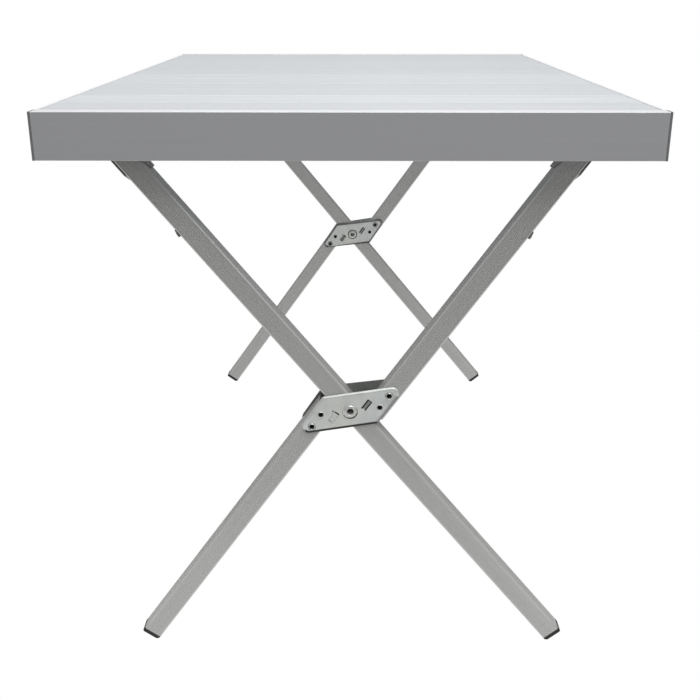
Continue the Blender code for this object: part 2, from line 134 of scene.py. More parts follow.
# Leg fittings, measured from the barrel's axis down the leg and from the tube's middle
TUBE_HALF = 0.0125
FITTING_SHEET = 0.0018
FITTING_FRONT = 0.0115
STRAP_HALF = 0.009
CHEEK_REACH = 0.0555
CHEEK_CHAMFER = 0.012
EAR_SPAN = (0.0022, 0.012)  # from the strap's lower end
AWAY = 0.02  # past the edge of whatever is cut

# Bracket plates: corners beside and along the split leg, from the pivot
OUTER_CORNERS = ((-0.0385, -0.0050), (0.037, 0.0690), (0.038, 0.0060), (-0.037, -0.0680))
INNER_CORNERS = ((-0.041, -0.0025), (0.0385, 0.0705), (0.041, 0.0065), (-0.039, -0.066))
PLATE_RADII = (0.0045, 0.0085, 0.0045, 0.0085)
PLATE_RAISE = 0.0014  # how far the pressed face stands out from the CAD's sheet
PLATE_ROLL = 0.0027  # radius of the plate's rolled rim
BOSSED = 0.045  # rivets further than this from the pivot sit on a boss
TAB_PLACE = (0.0185, 0.0117)  # lanced tabs, along and beside the split leg
TAB_LENGTH = 0.0150
TAB_WIDTH = 0.0070
TAB_SHEET = 0.0009
TAB_FLOOR = 0.0006  # floor of the tabs' openings, above the plate's back
TAB_HOLE = (-0.0128, -0.0172)  # a small hole beside the tab that stands out
RIVET_HOLE = 0.0028  # through the tubes
EYELET_HOLE = 0.0052
# painted shade on the inner plate's back, standing in for the shadow between the plates
BACK_SHADE = 0.72  # how dark the inner plate's back is

# painted highlight: the near-white colour painted over the rails' top faces, standing in for
# light from above
PAINTED_TOP_HIGHLIGHT = (0.92, 0.925, 0.94)
# painted shade: the near-black colour painted into rims, openings, bores and the inner plate's
# back
PAINTED_SHADE_COLOUR = (0.042, 0.040, 0.036, 1.0)

COVE_SIZE = 12.0
COVE_BEND = 2.0
SKY_ABOVE = 0.36
SKY_BELOW = 0.03
SOFTBOXES = (  # name, place, width, length, watts, aim
    ("key", (0.5, -1.4, 3.1), 1.9, 1.9, 62.0, (0.0, -0.5, 0.6)),
    ("fill", (-0.1, 0.9, 3.0), 2.0, 2.0, 28.0, (0.0, 0.3, 0.7)),
    ("floor_bounce", (0.0, 0.7, -0.01), 3.4, 4.3, 34.0, (0.0, 0.7, 1.0)),
)
CAMERA_PLACE = (0.0063, -1.592, 0.8305)
CAMERA_TURN = (69.75, 0.0, 0.312)
LENS = 50.15


# ---------------- materials
class Look:
    """A Principled material, with short ways to add nodes to it."""

    def __init__(self, name, colour, roughness, metallic):
        self.material = bpy.data.materials.new(name)
        self.material.use_nodes = True
        self.tree = self.material.node_tree
        self.shader = self.tree.nodes["Principled BSDF"]
        self.colour = (*colour, 1.0)
        self.shader.inputs["Base Color"].default_value = self.colour
        self.shader.inputs["Roughness"].default_value = roughness
        self.shader.inputs["Metallic"].default_value = metallic
        self.place = self.add("ShaderNodeTexCoord").outputs["Object"]

    def add(self, kind, **settings):
        """A new node with its properties set."""
        node = self.tree.nodes.new(kind)
        for key, value in settings.items():
            setattr(node, key, value)
        return node

    def feed(self, node, **values):
        """Set or link a node's inputs. Underscores stand for spaces."""
        for key, value in values.items():
            socket = node.inputs[key.replace("_", " ")]
            if isinstance(value, bpy.types.NodeSocket):
                self.tree.links.new(value, socket)
            else:
                socket.default_value = value
        return node

    def noise(self, stretch, detail=3.0, roughness=0.55):
        """Noise in the piece's own space, with the number of grains a metre on each axis."""
        mapping = self.feed(self.add("ShaderNodeMapping"), Vector=self.place, Scale=stretch)
        node = self.feed(
            self.add("ShaderNodeTexNoise"), Vector=mapping.outputs["Vector"],
            Scale=1.0, Detail=detail, Roughness=roughness)
        return node.outputs["Fac"]

    def span(self, value, low, high, to_low=0.0, to_high=1.0):
        """Map a value from one range to another and clamp it."""
        node = self.add("ShaderNodeMapRange", clamp=True)
        node.inputs["From Min"].default_value = low
        node.inputs["From Max"].default_value = high
        node.inputs["To Min"].default_value = to_low
        node.inputs["To Max"].default_value = to_high
        self.tree.links.new(value, node.inputs["Value"])
        return node.outputs["Result"]

    def blend(self, factor, first, second):
        """Mix two colours or colour sockets by a factor socket."""
        node = self.add("ShaderNodeMix", data_type="RGBA")
        self.tree.links.new(factor, node.inputs["Factor"])
        for socket, value in ((node.inputs[6], first), (node.inputs[7], second)):
            if isinstance(value, bpy.types.NodeSocket):
                self.tree.links.new(value, socket)
            else:
                socket.default_value = value
        return node.outputs[2]

    def shade(self, factor):
        """The base colour times a factor."""
        return tuple(channel * factor for channel in self.colour[:3]) + (1.0,)

    def attribute(self, name):
        """A value stored on the mesh."""
        return self.add("ShaderNodeAttribute", attribute_name=name).outputs["Fac"]

    def edges(self, radius):
        """About 1 on edges sharper than the radius and 0 on flats."""
        bevel = self.feed(self.add("ShaderNodeBevel", samples=4), Radius=radius)
        true = self.add("ShaderNodeNewGeometry").outputs["Normal"]
        dot = self.add("ShaderNodeVectorMath", operation="DOT_PRODUCT")
        self.tree.links.new(bevel.outputs["Normal"], dot.inputs[0])
        self.tree.links.new(true, dot.inputs[1])
        return self.span(dot.outputs["Value"], 1.0, 0.90)

    def bump(self, height, strength, distance):
        """Bump from a height socket, in metres."""
        node = self.feed(self.add("ShaderNodeBump"), Height=height)
        node.inputs["Strength"].default_value = strength
        node.inputs["Distance"].default_value = distance
        self.tree.links.new(node.outputs["Normal"], self.shader.inputs["Normal"])

    def use(self, colour, roughness):
        """Link the colour and roughness that vary over the surface to the shader."""
        self.tree.links.new(colour, self.shader.inputs["Base Color"])
        self.tree.links.new(roughness, self.shader.inputs["Roughness"])
        return self.material


def extruded_alloy(name, colour, roughness, metallic, bright, top=None):
    """Satin extruded aluminium: die lines along X, soft mottling, edges paler from wear and
    painted highlight.

    The stored tone lifts it. The stored top mask paints a highlight on top faces, the edge mask
    lightens edges for wear and as painted highlight, and the shade mask darkens it with painted
    shade.
    """
    look = Look(name, colour, roughness, metallic)
    lines = look.noise((1.5, 700.0, 700.0), detail=4.0)
    broad = look.noise((6.0, 60.0, 60.0), detail=2.0)
    tone = look.blend(look.span(lines, 0.3, 0.7), look.shade(0.965), look.shade(1.035))
    tone = look.blend(look.span(broad, 0.35, 0.7, 0.0, 0.5), tone, look.shade(0.94))
    scuffs = look.span(look.noise((25.0, 600.0, 600.0), detail=1.0), 0.70, 0.82, 0.0, 0.3)
    tone = look.blend(scuffs, tone, look.shade(1.10))
    tone = look.blend(look.attribute("tone"), tone, look.shade(1.08))
    # painted highlight: the top mask whitens the rails' top faces as if lit from above
    if top:
        tone = look.blend(look.attribute("top"), tone, (*top, 1.0))
    # edge wear and painted highlight: rounded edges are lightened by the edge mask
    tone = look.blend(look.attribute("wear_and_sheen"), tone, look.shade(bright))
    # painted shade: darkened where the shade mask is set
    tone = look.blend(look.attribute("painted_shade"), tone, look.shade(0.18))
    rough = look.span(broad, 0.2, 0.8, roughness - 0.05, roughness + 0.08)
    look.bump(lines, 0.10, 0.00005)
    return look.use(tone, rough)


def zinc_plate(name, colour, roughness, metallic):
    """Zinc-plated steel: cloudy mottling, fine pits, bright worn edges, and painted shade from a
    stored mask.
    """
    look = Look(name, colour, roughness, metallic)
    clouds = look.noise((55.0, 55.0, 55.0), detail=4.0, roughness=0.6)
    spangle = look.noise((420.0, 420.0, 420.0), detail=2.0)
    tone = look.blend(look.span(clouds, 0.32, 0.68), look.shade(0.88), look.shade(1.08))
    warm = (colour[0] * 1.05, colour[1], colour[2] * 0.93, 1.0)
    stains = look.span(look.noise((18.0, 18.0, 18.0)), 0.42, 0.66, 0.0, 0.6)
    tone = look.blend(stains, tone, warm)
    tone = look.blend(look.span(spangle, 0.45, 0.7, 0.0, 0.2), tone, look.shade(1.12))
    tone = look.blend(look.edges(0.0005), tone, look.shade(1.25))
    # painted shade: rims, openings, bores and the inner plate's back are darkened as if in shadow
    tone = look.blend(look.attribute("painted_shade"), tone, PAINTED_SHADE_COLOUR)
    rough = look.span(clouds, 0.3, 0.7, roughness - 0.08, roughness + 0.12)
    look.bump(spangle, 0.2, 0.0001)
    return look.use(tone, rough)


def cast_alloy():
    """Tumbled sand casting: grainy, with paler rubbed edges."""
    look = Look("cast_aluminium", (0.30, 0.305, 0.31), 0.55, 0.6)
    grain = look.noise((900.0, 900.0, 900.0), detail=3.0)
    broad = look.noise((40.0, 40.0, 40.0), detail=3.0)
    tone = look.blend(look.span(grain, 0.3, 0.7), look.shade(0.82), look.shade(1.12))
    tone = look.blend(look.span(broad, 0.4, 0.7, 0.0, 0.5), tone, look.shade(0.8))
    tone = look.blend(look.edges(0.0006), tone, look.shade(1.5))
    look.bump(grain, 0.5, 0.00025)
    return look.use(tone, look.span(broad, 0.3, 0.7, 0.48, 0.66))


def moulded_plastic(name, colour, roughness, scuff):
    """Moulded black plastic: fine texture, greyed and dusty on worn edges."""
    look = Look(name, colour, roughness, 0.0)
    grain = look.noise((1500.0, 1500.0, 1500.0), detail=2.0)
    dust = look.noise((120.0, 120.0, 120.0), detail=3.0)
    tone = look.blend(look.span(dust, 0.5, 0.75, 0.0, scuff), look.shade(1.0), look.shade(4.0))
    tone = look.blend(look.edges(0.0006), tone, look.shade(1.6))
    look.bump(grain, 0.35, 0.00012)
    return look.use(tone, look.span(dust, 0.3, 0.7, roughness - 0.08, roughness + 0.12))


# ---------------- mesh helpers
def prism_along(profile, low, high, steps=1):
    """Extrude (Y, Z, edge) points along X. The edge value, which marks edge wear and painted
    highlight, lands on the vertices.
    """
    bm = bmesh.new()
    layer = bm.verts.layers.float.new("wear_and_sheen")
    rings = []
    for x in (low + (high - low) * k / steps for k in range(steps + 1)):
        ring = []
        for y, z, wear_and_sheen in profile:
            vert = bm.verts.new((x, y, z))
            vert[layer] = wear_and_sheen
            ring.append(vert)
        rings.append(ring)
    bm.faces.new(rings[0])
    bm.faces.new(reversed(rings[-1]))
    for first, second in zip(rings, rings[1:]):
        bridge(bm, first, second)
    return bm


def bridge(bm, first, second):
    """Quads between two closed rings of equal length."""
    count = len(first)
    for i in range(count):
        j = (i + 1) % count
        bm.faces.new((first[i], first[j], second[j], second[i]))


def box(low, high):
    """A box between two corners."""
    corners = ((low[1], low[2]), (high[1], low[2]), (high[1], high[2]), (low[1], high[2]))
    return prism_along([(y, z, 0.0) for y, z in corners], low[0], high[0])


def turned(profile, axis="Z", sides=48, closed=False):
    """Turn (radius, height) pairs about X or Z. An open profile starts and ends on it."""
    place = {
        "X": lambda r, h, a: (h, r * cos(a), r * sin(a)),
        "Z": lambda r, h, a: (r * cos(a), r * sin(a), h),
    }[axis]
    bm = bmesh.new()
    rings = []
    for radius, height in profile:
        steps = sides if radius > 0 else 1
        rings.append([
            bm.verts.new(place(radius, height, 2 * pi * k / sides)) for k in range(steps)])
    last = len(rings) if closed else len(rings) - 1
    for i in range(last):
        ring, following = rings[i], rings[(i + 1) % len(rings)]
        if len(ring) > 1 and len(following) > 1:
            bridge(bm, ring, following)
            continue
        for k in range(sides):
            n = (k + 1) % sides
            if len(ring) == 1:
                bm.faces.new((ring[0], following[k], following[n]))
            else:
                bm.faces.new((ring[k], ring[n], following[0]))
    return bm


def moved(bm, offset):
    """Shift a bmesh."""
    bmesh.ops.translate(bm, vec=Vector(offset), verts=bm.verts)
    return bm


def arc(centre, radius, start, end, steps):
    """Points on an arc, angles in radians."""
    return [
        (centre[0] + radius * cos(start + (end - start) * k / steps),
         centre[1] + radius * sin(start + (end - start) * k / steps))
        for k in range(steps + 1)]


def rounded(corners, radii, steps=ROUND_STEPS):
    """Round an outline's corners. Gives (first, second, edge): the edge value, which marks edge
    wear and painted highlight, peaks amid each corner.
    """
    points = []
    count = len(corners)
    for i, (corner, radius) in enumerate(zip(corners, radii)):
        here = Vector(corner)
        if radius <= 0:
            points.append((here.x, here.y, 0.0))
            continue
        before = Vector(corners[i - 1]) - here
        after = Vector(corners[(i + 1) % count]) - here
        half = before.angle(after) / 2
        start = here + before.normalized() * (radius / tan(half))
        end = here + after.normalized() * (radius / tan(half))
        inward = (before.normalized() + after.normalized()).normalized()
        centre = here + inward * (radius / sin(half))
        first = atan2(*(start - centre).yx)
        sweep = (atan2(*(end - centre).yx) - first + pi) % (2 * pi) - pi
        for k, (x, y) in enumerate(arc(centre, radius, first, first + sweep, steps)):
            points.append((x, y, sin(pi * k / steps)))
    return points


def make(name, bm, material):
    """A linked object from a bmesh."""
    bmesh.ops.recalc_face_normals(bm, faces=bm.faces)
    mesh = bpy.data.meshes.new(name)
    bm.to_mesh(mesh)
    bm.free()
    mesh.materials.append(material)
    item = bpy.data.objects.new(name, mesh)
    bpy.context.scene.collection.objects.link(item)
    return item


def combine(item, tools, operation):
    """Join bmeshes to a piece or cut them from it, by exact Booleans."""
    cutters = []
    for tool in tools:
        cutter = make("tool", tool, item.data.materials[0])
        modifier = item.modifiers.new("cut", "BOOLEAN")
        modifier.solver = "EXACT"
        modifier.operation = operation
        modifier.object = cutter
        cutters.append(cutter)
    graph = bpy.context.evaluated_depsgraph_get()
    old = item.data
    item.data = bpy.data.meshes.new_from_object(item.evaluated_get(graph))
    item.modifiers.clear()
    bpy.data.meshes.remove(old)
    for cutter in cutters:
        bpy.data.objects.remove(cutter, do_unlink=True)


def smooth(item, angle=38.0, bevel=0.0):
    """Smooth shading with kept edges, and a small bevel if a width is given."""
    item.data.shade_smooth()
    item.data.set_sharp_from_angle(angle=radians(angle))
    if bevel:
        modifier = item.modifiers.new("edges", "BEVEL")
        modifier.width = bevel
        modifier.segments = 2
        modifier.limit_method = "ANGLE"
        modifier.angle_limit = radians(angle)
        modifier.harden_normals = True
    else:
        modifier = item.modifiers.new("normals", "WEIGHTED_NORMAL")
        modifier.keep_sharp = True
    return item


def settle(item, matrix, node):
    """Place a piece, ride it on its node's body and let it stand for the node."""
    item.name = node + "_look"
    item.data.name = item.name
    item.matrix_world = matrix
    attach(item, frame["nodes"][node]["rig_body"])
    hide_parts(node)
    return item


def local_box(node, matrix):
    """A CAD node's lowest and highest corners in a piece's frame."""
    inverse = matrix.inverted()
    points = [inverse @ vert.co for vert in frame["nodes"][node].data.vertices]
    return Vector(map(min, zip(*points))), Vector(map(max, zip(*points)))


def node_frame(node, along="X"):
    """A frame at the middle of a node's box, its X along the row frame's X or Y."""
    low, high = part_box(node)
    turn = Matrix.Rotation(radians(90.0) if along == "Y" else 0.0, 4, "Z")
    return Matrix.Translation((low + high) / 2) @ turn


def leg_frame(origin, node):
    """X up the leg, Y beside it, Z along the table. The leg's side face gives its tilt."""
    faces = [face for face in frame["nodes"][node].data.polygons if abs(face.normal.y) < 0.01]
    side = max(faces, key=lambda face: face.area).normal
    beside = side.copy() if side.x > 0 else -side
    across = Vector((0.0, 1.0, 0.0))
    along = beside.cross(across)
    turn = Matrix((along, beside, across)).transposed().to_4x4()
    return Matrix.Translation(origin) @ turn


# ---------------- table top
def rail_profile(corners):
    """Round a rail's section, given as (inward, down, radius) corners."""
    return rounded([corner[:2] for corner in corners], [radius for _, _, radius in corners])


def build_end_rail(name, end, material):
    """An end rail: apron, top flange and bottom lip."""
    low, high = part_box(name)
    flange = high.y - low.y
    drop = high.z - low.z
    lip = flange / 2
    corners = (
        (0, 0, LIP_ROUND), (flange, 0, SHEET_ROUND), (flange, -RAIL_WALL, SHEET_ROUND),
        (RAIL_WALL, -RAIL_WALL, SHEET_ROUND), (RAIL_WALL, RAIL_WALL - drop, SHEET_ROUND),
        (lip, RAIL_WALL - drop, SHEET_ROUND), (lip, -drop, SHEET_ROUND), (0, -drop, LIP_ROUND))
    section = []
    for inward, down, wear_and_sheen in rail_profile(corners):
        section.append((end * (flange / 2 - inward), down + drop / 2, wear_and_sheen))
    half = (high.x - low.x) / 2
    item = make(name, prism_along(section, -half, half), material)
    # painted highlight on the top face
    mark_top_highlight(item, 0.7)
    smooth(item)
    return settle(item, node_frame(name), name)


def mark_top_highlight(item, highlight_level):
    """Store how strongly a painted highlight whitens the rail's top face."""
    high = max(vert.co.z for vert in item.data.vertices)
    values = [highlight_level if vert.co.z > high - 0.0002 else 0.0 for vert in item.data.vertices]
    item.data.attributes.new("top", "FLOAT", "POINT").data.foreach_set("value", values)


def build_side_rail(name, side, material):
    """A side rail: wall, thin rim over the slat ends, ledge under them, bottom lip."""
    low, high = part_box(name)
    drop = high.z - low.z
    width = high.x - low.x
    ledge = high.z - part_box("slat_01")[0].z + GAP
    lip = width * 0.75
    r = SHEET_ROUND
    corners = (
        (0, 0, LIP_ROUND), (SIDE_RIM, 0, RIM_WALL / 3), (SIDE_RIM, -RIM_WALL, RIM_WALL / 3),
        (RAIL_WALL, -RIM_WALL, 0), (RAIL_WALL, -ledge, r), (width, -ledge, r),
        (width, -ledge - RAIL_WALL, r), (RAIL_WALL, -ledge - RAIL_WALL, r),
        (RAIL_WALL, RAIL_WALL - drop, r), (lip, RAIL_WALL - drop, r), (lip, -drop, r),
        (0, -drop, LIP_ROUND))
    section = []
    for inward, down, wear_and_sheen in rail_profile(corners):
        section.append((-side * (width / 2 - inward), down + drop / 2, wear_and_sheen))
    half = (high.y - low.y) / 2
    item = make(name, prism_along(section, -half, half), material)
    # painted highlight on the top face
    mark_top_highlight(item, 1.0)
    smooth(item)
    return settle(item, node_frame(name, "Y"), name)


def edge_points(centre, start, end):
    """A slat's rounded edge."""
    points = arc(centre, SLAT_EDGE, start, end, ROUND_STEPS)
    return [(y, z, sin(pi * k / ROUND_STEPS)) for k, (y, z) in enumerate(points)]


def build_slat(number, material):
    """A channel slat: reeded top, rounded edges, two ribs under the skin, its own tone."""
    name = f"slat_{number:02d}"
    low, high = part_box(name)
    half = (high.y - low.y) / 2
    top = (high.z - low.z) / 2
    flat = half - SLAT_EDGE
    section = [(-half, -top, 0.0)]
    section += edge_points((-flat, top - SLAT_EDGE), pi, pi / 2)
    steps = SLAT_REEDS * REED_STEPS
    for k in range(1, steps):
        y = -flat + 2 * flat * k / steps
        reed = 0.5 - 0.5 * cos(2 * pi * SLAT_REEDS * k / steps)
        crown = SLAT_CROWN * (y / flat) ** 2
        section.append((y, top - crown * reed - SLAT_REED * (1 - reed) * 0.6, 0.0))
    section += edge_points((flat, top - SLAT_EDGE), pi / 2, 0)
    skin = top - SLAT_SKIN
    section += [(half, -top, 0.0), (half - SLAT_WEB, -top, 0.0), (half - SLAT_WEB, skin, 0.0)]
    for place in (half / 3, -half / 3):
        right, left = place + SLAT_WEB / 2, place - SLAT_WEB / 2
        section += [
            (right, skin, 0.0), (right, skin - SLAT_RIB, 0.0),
            (left, skin - SLAT_RIB, 0.0), (left, skin, 0.0)]
    section += [(SLAT_WEB - half, skin, 0.0), (SLAT_WEB - half, -top, 0.0)]
    reach = cad_high.x - RAIL_WALL - GAP
    item = make(name, prism_along(section, -reach, reach, SLAT_STEPS), material)
    tone = random.Random(number).uniform(0.0, 1.0)
    values = [tone] * len(item.data.vertices)
    item.data.attributes.new("tone", "FLOAT", "POINT").data.foreach_set("value", values)
    smooth(item, 50.0)
    return settle(item, node_frame(name), name)


def build_casting(end_name, end, side_name, side, material):
    """A corner casting: end plate, ribbed arms and the rod's seat.

    It is built with X inward along the end rail and Y along the side rail, and
    then mirrored into its corner.
    """
    name = f"corner_casting_{end_name}_{side_name}"
    low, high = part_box(name)
    wall = RAIL_WALL + GAP
    floor = low.z + wall
    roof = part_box("slat_01")[0].z - wall - GAP
    item = make(name, box((0, 0, low.z), (CASTING_PLATE, CASTING_RETURN, high.z)), material)
    combine(item, [
        box((CASTING_PLATE / 2, wall, floor), (high.x - low.x, CASTING_ARM, roof)),
        box((wall, wall, floor), (CASTING_RETURN, high.y - low.y, roof)),
    ], "UNION")
    rib = wall + CASTING_RIB
    below, ceiling = floor - AWAY / 2, roof - CASTING_ROOF
    pockets = []
    for start, stop in END_POCKETS:
        pockets.append(box((start, rib, below), (stop, CASTING_ARM - CASTING_RIB, ceiling)))
    for start, stop in SIDE_POCKETS:
        pockets.append(box((rib, start, below), (CASTING_RETURN - CASTING_RIB, stop, ceiling)))
    combine(item, pockets, "DIFFERENCE")
    rod_low, rod_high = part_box(f"{end_name}_rod")
    axis = (rod_low + rod_high) / 2
    inset = cad_high.y - abs(axis.y)
    seat = turned((
        (0, 0), (SEAT_RADIUS, 0), (SEAT_RADIUS, SEAT_LENGTH - SEAT_CHAMFER),
        (SEAT_RADIUS - SEAT_CHAMFER, SEAT_LENGTH), (0, SEAT_LENGTH)), "X")
    combine(item, [moved(seat, (wall + 0.0015, inset, axis.z))], "UNION")
    loose = ROD_RADIUS + GAP
    mouth, depth = -AWAY / 2, 2 * AWAY
    bore = turned(((0, mouth), (loose, mouth), (loose, depth), (0, depth)), "X")
    combine(item, [moved(bore, (wall + 0.0020, inset, axis.z))], "DIFFERENCE")
    item.data.transform(Matrix.Diagonal((-side, -end, 1.0, 1.0)))
    if side * end < 0:
        item.data.flip_normals()
    smooth(item, 38.0, 0.0005)
    corner = Matrix.Translation((side * cad_high.x, end * cad_high.y, 0.0))
    return settle(item, corner, name)


# ---------------- leg tubes
def fluted_square(half):
    """The outline of a square tube with rounded corners and fluted faces."""
    flat = half - TUBE_ROUND
    side = [(half, -flat, 0.0)]
    start = FLUTE_MARGIN - half
    pitch = -2 * start / FLUTES
    for k in range(FLUTES):
        for share, dip in ((0.25, 0.0), (0.5, FLUTE_DEPTH), (0.75, 0.0)):
            side.append((half - dip, start + pitch * (k + share), 0.0))
    corner = arc((flat, flat), TUBE_ROUND, 0.0, pi / 2, ROUND_STEPS)[:-1]
    side += [(x, y, sin(pi * k / ROUND_STEPS)) for k, (x, y) in enumerate(corner)]
    points = []
    for quarter in range(4):
        c, s = (1, 0, -1, 0)[quarter], (0, 1, 0, -1)[quarter]
        points += [(x * c - y * s, x * s + y * c, wear_and_sheen) for x, y, wear_and_sheen in side]
    return points


def build_tube(node, matrix, cutters, material):
    """A fluted square tube with its holes, open at both ends."""
    low, high = local_box(node, matrix)
    middle = (low + high) / 2
    half = (high.y - low.y) / 2
    inside = (half - TUBE_WALL) / half
    outline = fluted_square(half)
    bm = bmesh.new()
    # the edge mask marks edge wear and painted highlight on the tube's rounded corners
    layer = bm.verts.layers.float.new("wear_and_sheen")
    stations = [(low.x + (high.x - low.x) * k / TUBE_STEPS, 1.0) for k in range(TUBE_STEPS + 1)]
    rings = []
    for x, scale in stations + [(high.x, inside), (low.x, inside)]:
        ring = []
        for y, z, wear_and_sheen in outline:
            vert = bm.verts.new((x, middle.y + y * scale, middle.z + z * scale))
            vert[layer] = wear_and_sheen if scale == 1.0 else 0.0
            ring.append(vert)
        rings.append(ring)
    for first, second in zip(rings, rings[1:] + rings[:1]):
        bridge(bm, first, second)
    item = make(node, bm, material)
    combine(item, cutters, "DIFFERENCE")
    smooth(item, 50.0)
    return settle(item, matrix, node)


def foot_cut(node, matrix):
    """A cutter that takes the cap's band off a tube's foot."""
    low, high = local_box(node, matrix)
    away = Vector((AWAY, AWAY, AWAY))
    return box(low - away, (low.x + FOOT_BAND, high.y + AWAY, high.z + AWAY))


def slot_cutter(low, high, middle, side, half_width):
    """A round-ended slot through one side wall of a tube, X being along the leg."""
    corners = ((low, -half_width), (high, -half_width), (high, half_width), (low, half_width))
    outline = rounded(corners, [half_width * 0.98] * 4, 6)
    bm = bmesh.new()
    near, far = middle + side * TUBE_HALF / 2, middle + side * (TUBE_HALF + AWAY / 2)
    rings = [[bm.verts.new((x, y, z)) for x, z, _ in outline] for y in (near, far)]
    bm.faces.new(rings[0])
    bm.faces.new(reversed(rings[1]))
    bridge(bm, rings[0], rings[1])
    return bm


def pin_cutter(along, beside, radius):
    """A round hole along Z, right through a leg."""
    bm = turned(((0, -0.03), (radius, -0.03), (radius, 0.03), (0, 0.03)), "Z", 32)
    return moved(bm, (along, beside, 0.0))


def rod_slots(head, middle, rise, play):
    """The slots that let the rod through a leg top as the leg tilts."""
    reach = TUBE_HALF + GAP + FITTING_SHEET
    run = abs(rise) * reach + ROD_RADIUS * (1 + rise * rise) ** 0.5 + play + ROD_SLACK
    back = ROD_RADIUS + play + ROD_SLACK
    cutters = []
    for side in (-1, 1):
        upward = side * rise > 0
        low, high = (head - back, head + run) if upward else (head - run, head + back)
        cutters.append(slot_cutter(low, high, middle, side, ROD_RADIUS + 0.0005))
    return cutters


# ---------------- leg fittings
def build_fitting(node, matrix, head, middle, outer, inward, cutters, material):
    """A bent steel fitting: cheeks, back strap and a wedge-shaped lower ear."""
    low, high = local_box(node, matrix)
    tube = TUBE_HALF + GAP
    out = tube + FITTING_SHEET
    back = inward * out
    front = -inward * FITTING_FRONT
    cheek_low = head - CHEEK_REACH
    bend = rounded(
        ((-out, front), (-out, back), (out, back), (out, front),
         (tube, front), (tube, inward * tube), (-tube, inward * tube), (-tube, front)),
        (0.0007, 0.0022, 0.0022, 0.0007, 0.0007, 0.0006, 0.0006, 0.0007))
    section = [(middle + y, z, wear_and_sheen) for y, z, wear_and_sheen in bend]
    item = make(node, prism_along(section, low.x, high.x), material)
    sides = []
    chamfers = []
    for side in (-1, 1):
        edges = sorted((middle + side * STRAP_HALF, middle + side * AWAY))
        sides.append(box((low.x - AWAY / 2, edges[0], -AWAY), (cheek_low, edges[1], AWAY)))
        size = Vector((CHEEK_CHAMFER, CHEEK_CHAMFER / 2, CHEEK_CHAMFER))
        wedge = box(-size, size)
        bmesh.ops.rotate(wedge, matrix=Matrix.Rotation(radians(45.0), 3, "Y"), verts=wedge.verts)
        place = (cheek_low - CHEEK_CHAMFER / 3, middle + side * out, front)
        chamfers.append(moved(wedge, place))
    combine(item, sides, "DIFFERENCE")
    combine(item, chamfers, "DIFFERENCE")
    edges = sorted((middle + outer * (STRAP_HALF - 0.001), middle + outer * (tube + 0.0005)))
    depth = sorted((inward * tube, back))
    ear_low, ear_top = (low.x + reach for reach in EAR_SPAN)
    link = box((ear_low, edges[0], depth[0]), (ear_top, edges[1], depth[1]))
    ear = ear_wedge(ear_low, ear_top, middle + outer * tube, outer, front, back)
    combine(item, [link, ear], "UNION")
    combine(item, cutters, "DIFFERENCE")
    smooth(item, 40.0, 0.00035)
    return settle(item, matrix, node)


def ear_wedge(low, high, inner, outer, front, back):
    """The ear's wedge, thickest at its lower end."""
    bm = bmesh.new()
    rings = []
    for x, rise in ((low, 0.0016), (low + 0.0015, 0.0024), (low + 0.004, 0.0022), (high, 0.0005)):
        face = inner + outer * rise
        rings.append([bm.verts.new((x, y, z)) for y, z in (
            (inner, front), (face, front), (face, back), (inner, back))])
    bm.faces.new(rings[0])
    bm.faces.new(reversed(rings[-1]))
    for first, second in zip(rings, rings[1:]):
        bridge(bm, first, second)
    return bm


def build_cap(node, tube_node, matrix, material):
    """A foot cap: rounded sole cut level where it stands, hollow plug in the tube."""
    low, high = local_box(node, matrix)
    tube_low, tube_high = local_box(tube_node, matrix)
    middle = (tube_low + tube_high) / 2
    half = (tube_high.y - tube_low.y) / 2
    sole_top = tube_low.x + FOOT_BAND - GAP
    corners = ((-half, -half), (half, -half), (half, half), (-half, half))
    square = rounded(corners, [SOLE_ROUND] * len(corners))
    section = [(middle.y + y, middle.z + z, 0.0) for y, z, _ in square]
    item = make(node, prism_along(section, low.x, sole_top), material)
    plug = half - TUBE_WALL - GAP
    core = box((sole_top - 0.001, middle.y - plug, middle.z - plug),
               (high.x, middle.y + plug, middle.z + plug))
    combine(item, [core], "UNION")
    hollow = plug - PLUG_WALL
    well = box((sole_top + 0.002, middle.y - hollow, middle.z - hollow),
               (high.x + AWAY, middle.y + hollow, middle.z + hollow))
    floor = box((-1.0, -1.0, -0.3), (1.0, 1.0, 0.0))
    floor.transform(matrix.inverted())
    combine(item, [well, floor], "DIFFERENCE")
    item.data.transform(matrix.to_3x3().to_4x4())
    smooth(item, 38.0, 0.0004)
    return settle(item, Matrix.Translation(matrix.translation), node)


def build_rod(end_name, material):
    """The rod under the top, chamfered, with a clip groove near each end."""
    name = f"{end_name}_rod"
    low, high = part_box(name)
    half = (high.x - low.x) / 2
    radius = (high.z - low.z) / 2
    chamfer, depth, width = 0.0006, 0.0008, 0.0012
    groove = 0.006 - half
    profile = [
        (0, -half), (radius - chamfer, -half), (radius, chamfer - half), (radius, groove),
        (radius - depth, groove), (radius - depth, groove + width), (radius, groove + width)]
    profile += [(r, -x) for r, x in reversed(profile)]
    item = smooth(make(name, turned(profile, "X"), material))
    return settle(item, node_frame(name), name)


